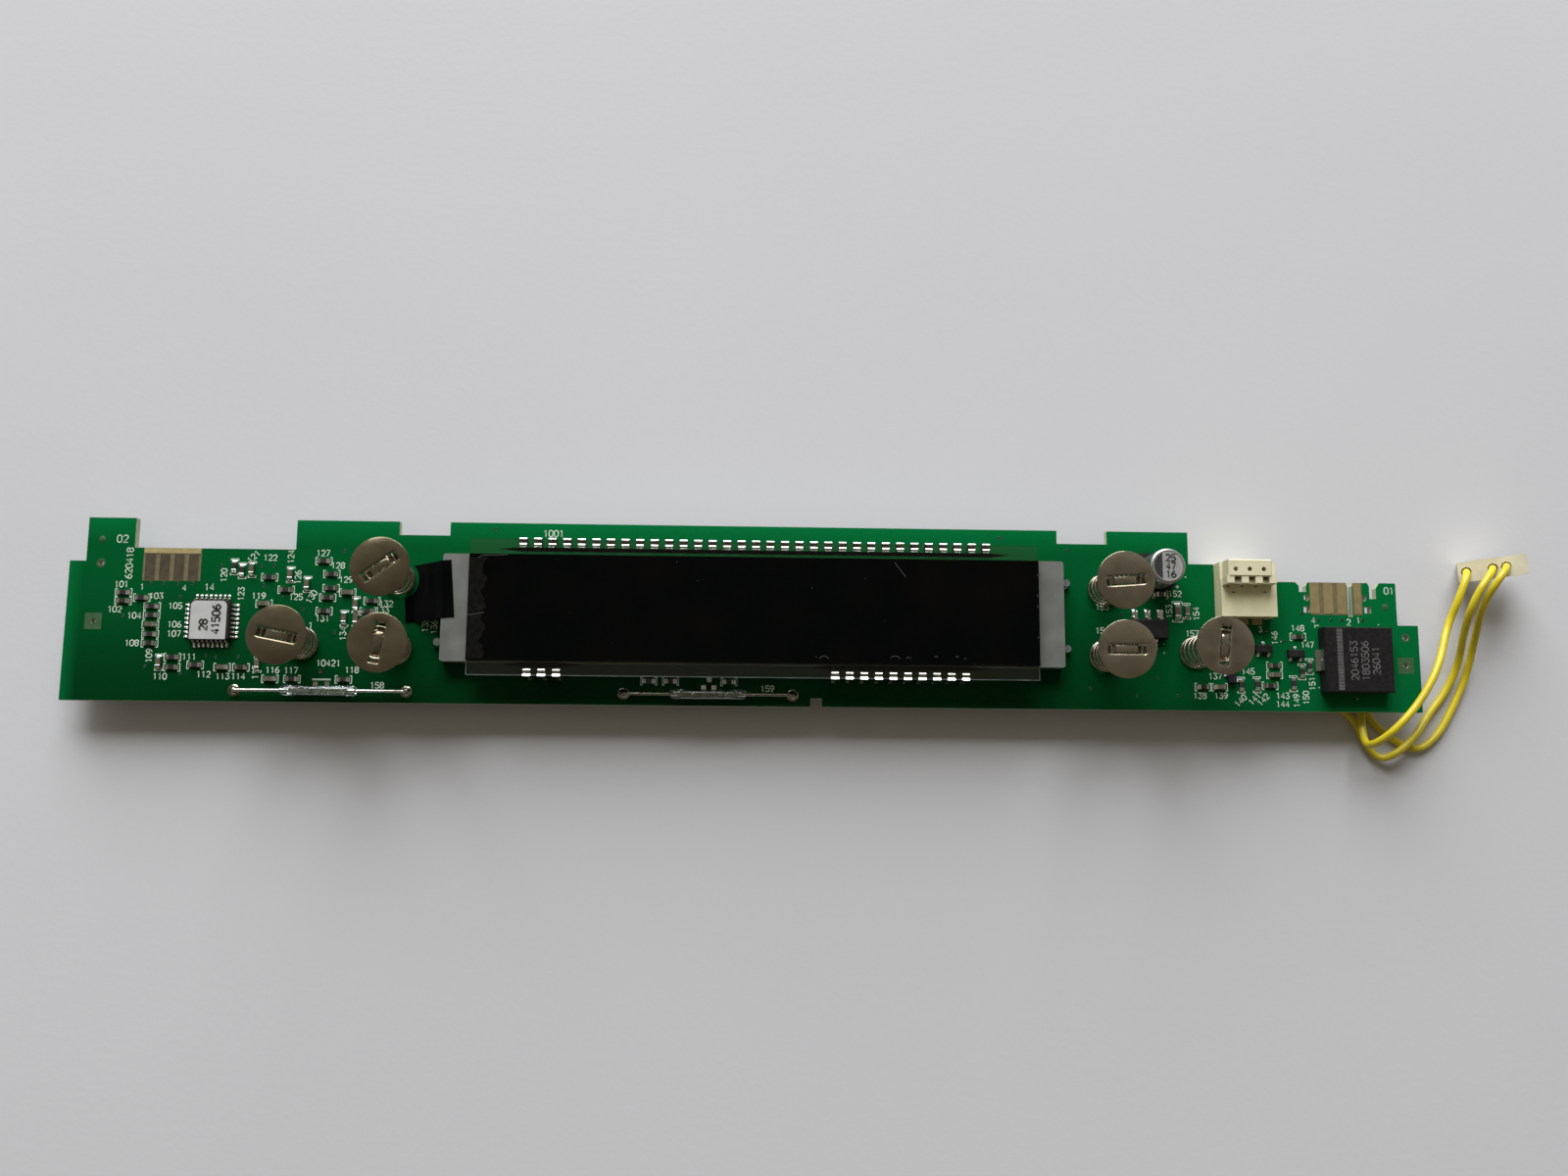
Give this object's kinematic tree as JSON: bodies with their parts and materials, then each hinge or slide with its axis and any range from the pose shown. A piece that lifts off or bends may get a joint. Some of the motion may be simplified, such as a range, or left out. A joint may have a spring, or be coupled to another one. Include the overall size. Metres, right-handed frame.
{
  "type": "refrigerator display board",
  "caption": "Long circuit board with a segment display on clip-on pins, sprung metal touch discs, reed switches, a buzzer, an edge plug and loose wires.",
  "frame": {"origin": "middle of the board's outline, at the level of the edge plug's underside, on which it stands", "axes": "+X along the board towards the end with the plugs, +Y from the reed switches' edge to the edge with the connectors, +Z out of the face with the display"},
  "size_m": [0.2613, 0.0409, 0.0192],
  "materials": {
    "board": "woven glass board under dark green solder mask",
    "gold": "thin gold plating, slightly dull",
    "tinned": "tin-plated, satin",
    "solder": "bright solder with a grey skin",
    "spring_steel": "plated spring wire, satin",
    "disc_steel": "plated stamped sheet, satin with fine scratches",
    "display_glass": "clear float glass with ground edges",
    "front_film": "black glossy film",
    "rear_film": "dark film",
    "light_guide": "milky clear acrylic",
    "resin": "clear cured resin",
    "black_body": "moulded black epoxy, fine grain",
    "label": "light grey paper label",
    "resistor": "dark glazed chip with tinned ends",
    "capacitor": "tan ceramic chip with tinned ends",
    "can": "drawn aluminium sleeve, satin",
    "ivory": "cream moulded plastic",
    "ivory_cover": "cream moulded plastic, a little lighter",
    "reed_glass": "pale green glass tube",
    "buzzer": "black moulded case, fine texture",
    "tape": "black tape, slightly crinkled",
    "wire": "yellow soft insulation"
  },
  "bodies": {
    "board_assembly": {"backlight": "light_guide", "buzzer": "buzzer", "buzzer_terminals": "tinned", "chip_capacitors": "capacitor", "chip_resistors": "resistor", "circuit_board": "board", "controller": "black_body", "controller_label": "label", "controller_leads": "tinned", "display_pins_back": "tinned", "display_pins_front": "tinned", "edge_pads": "gold", "edge_plug_contacts": "tinned", "edge_plug_cover": "ivory_cover", "edge_plug_housing": "ivory", "electrolytic_base": "black_body", "electrolytic_can": "can", "electrolytic_leads": "tinned", "five_way_contacts": "tinned", "five_way_housing": "ivory", "front_polariser": "front_film", "lower_glass": "display_glass", "pin_resin": "resin", "rear_polariser": "rear_film", "reed_glass_1": "reed_glass", "reed_glass_2": "reed_glass", "reed_leads_1": "tinned", "reed_leads_2": "tinned", "reed_solder": "solder", "regulator": "black_body", "regulator_leads": "tinned", "tape": "tape", "touch_spring_1": "spring_steel", "touch_spring_2": "spring_steel", "touch_spring_3": "spring_steel", "touch_spring_4": "spring_steel", "touch_spring_5": "spring_steel", "touch_spring_6": "spring_steel", "transistor_leads": "tinned", "transistors": "black_body", "upper_glass": "display_glass", "wire_1": "wire", "wire_2": "wire", "wire_3": "wire"},
    "key_1": {"touch_disc_1": "disc_steel"},
    "key_2": {"touch_disc_2": "disc_steel"},
    "key_3": {"touch_disc_3": "disc_steel"},
    "key_4": {"touch_disc_4": "disc_steel"},
    "key_5": {"touch_disc_5": "disc_steel"},
    "key_6": {"touch_disc_6": "disc_steel"}
  },
  "joints": [
    {"name": "press_key_1", "type": "slide", "parent": "board_assembly", "child": "key_1", "axis": [0, 0, -1], "range_m": [0, 0.0025], "stiffness_N_per_m": 150, "deforming": ["touch_spring_1"]},
    {"name": "press_key_2", "type": "slide", "parent": "board_assembly", "child": "key_2", "axis": [0, 0, -1], "range_m": [0, 0.0025], "stiffness_N_per_m": 150, "deforming": ["touch_spring_2"]},
    {"name": "press_key_3", "type": "slide", "parent": "board_assembly", "child": "key_3", "axis": [0, 0, -1], "range_m": [0, 0.0025], "stiffness_N_per_m": 150, "deforming": ["touch_spring_3"]},
    {"name": "press_key_4", "type": "slide", "parent": "board_assembly", "child": "key_4", "axis": [0, 0, -1], "range_m": [0, 0.0025], "stiffness_N_per_m": 150, "deforming": ["touch_spring_4"]},
    {"name": "press_key_5", "type": "slide", "parent": "board_assembly", "child": "key_5", "axis": [0, 0, -1], "range_m": [0, 0.0025], "stiffness_N_per_m": 150, "deforming": ["touch_spring_5"]},
    {"name": "press_key_6", "type": "slide", "parent": "board_assembly", "child": "key_6", "axis": [0, 0, -1], "range_m": [0, 0.0025], "stiffness_N_per_m": 150, "deforming": ["touch_spring_6"]}
  ]
}
